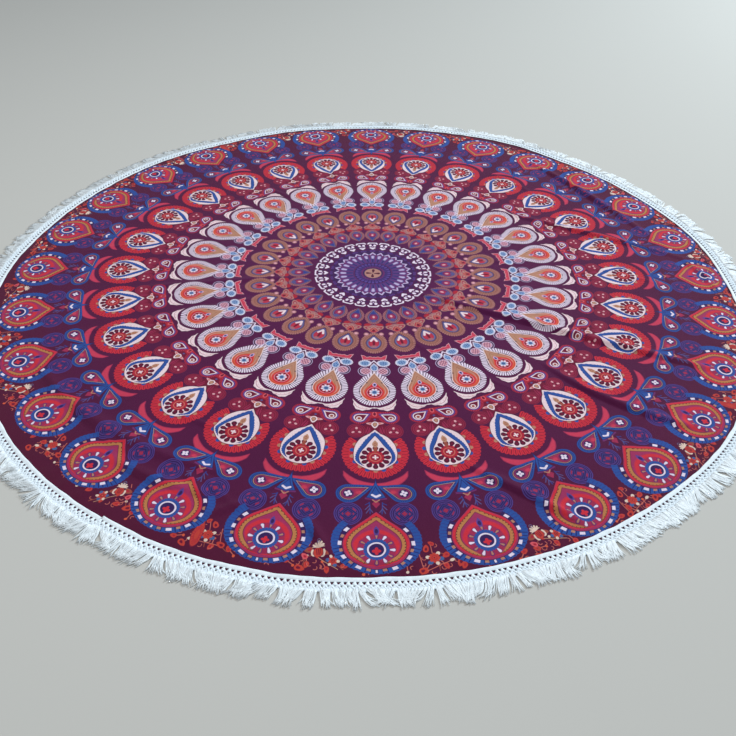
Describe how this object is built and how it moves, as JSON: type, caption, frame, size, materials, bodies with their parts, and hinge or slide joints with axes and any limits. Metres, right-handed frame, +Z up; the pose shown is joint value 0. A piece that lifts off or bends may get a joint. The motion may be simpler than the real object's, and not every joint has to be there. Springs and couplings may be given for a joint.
{
  "type": "round cotton throw with knotted fringe",
  "caption": "Round printed cotton throw with a rosette pattern and a knotted white fringe, spread flat on the floor with a few soft creases.",
  "frame": {"origin": "on the floor under the middle of the printed rosette", "axes": "+Z up, +X to the viewer's right, +Y away from the viewer of the picture"},
  "size_m": [1.8376, 1.8428, 0.0097],
  "materials": {
    "printed_cotton": "matt plain-weave printed cotton",
    "heading_tape": "matt white cotton tape and knotted net",
    "fringe_yarn": "soft white twisted cotton yarn"
  },
  "bodies": {
    "root": {"cloth": "printed_cotton", "heading": "heading_tape", "fringe": "fringe_yarn"}
  },
  "joints": []
}
